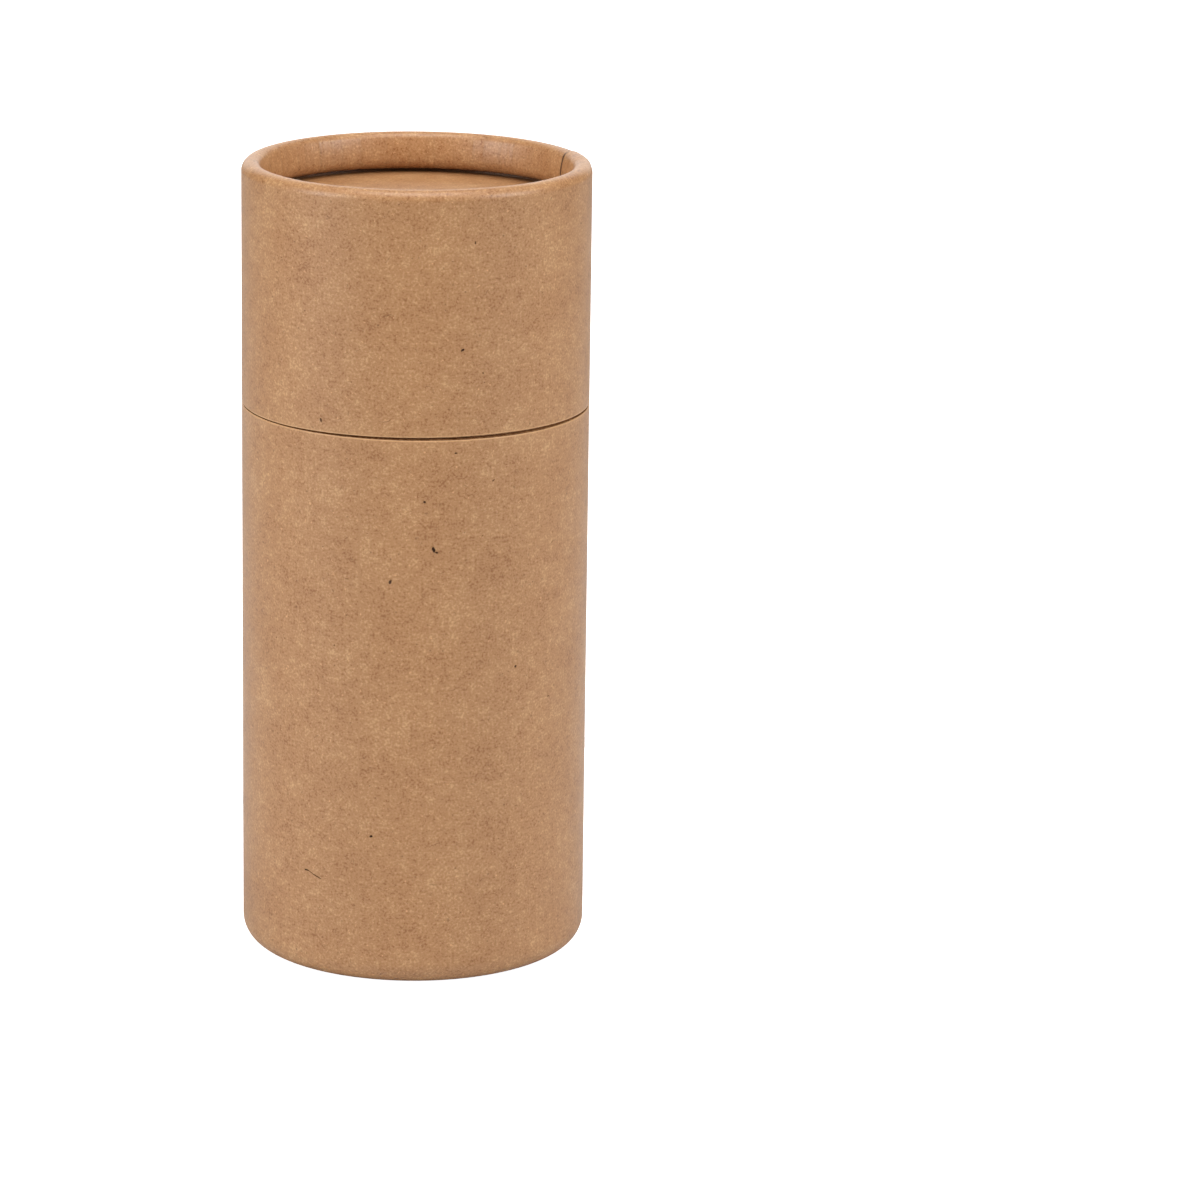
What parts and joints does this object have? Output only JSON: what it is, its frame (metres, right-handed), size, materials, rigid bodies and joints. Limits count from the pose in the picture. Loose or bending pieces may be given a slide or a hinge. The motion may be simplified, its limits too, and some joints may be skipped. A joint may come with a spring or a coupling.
{
  "type": "cylindrical gift tube box",
  "caption": "Tall round paper tube box with inward rolled rims, recessed disc ends and a lift-off lid that slides over an inner neck.",
  "frame": {"origin": "centre of the foot, on the plane that the tube stands on", "axes": "+Z along the tube's axis, from the foot to the lid; +X to the picture's right; the picture looks along +Y"},
  "size_m": [0.058, 0.058, 0.1342],
  "materials": {
    "kraft_wrap": "matte",
    "wound_board": "matte",
    "kraft_liner": "matte",
    "kraft_disc_paper": "matte",
    "disc_board": "matte",
    "kraft_neck": "matte"
  },
  "bodies": {
    "base": {"base_wrap": "kraft_wrap", "base_outer_ply": "wound_board", "base_inner_ply": "wound_board", "base_liner": "kraft_liner", "base_disc_facing": "kraft_disc_paper", "base_disc_board": "disc_board", "base_disc_lining": "kraft_disc_paper", "neck_wrap": "kraft_neck", "neck_outer_ply": "wound_board", "neck_inner_ply": "wound_board", "neck_liner": "kraft_liner"},
    "lid": {"lid_wrap": "kraft_wrap", "lid_outer_ply": "wound_board", "lid_inner_ply": "wound_board", "lid_liner": "kraft_liner", "lid_disc_facing": "kraft_disc_paper", "lid_disc_board": "disc_board", "lid_disc_lining": "kraft_disc_paper"}
  },
  "joints": [
    {"name": "lid_lift", "type": "slide", "parent": "base", "child": "lid", "axis": [0, 0, 1], "range_m": [0, 0.1]}
  ]
}
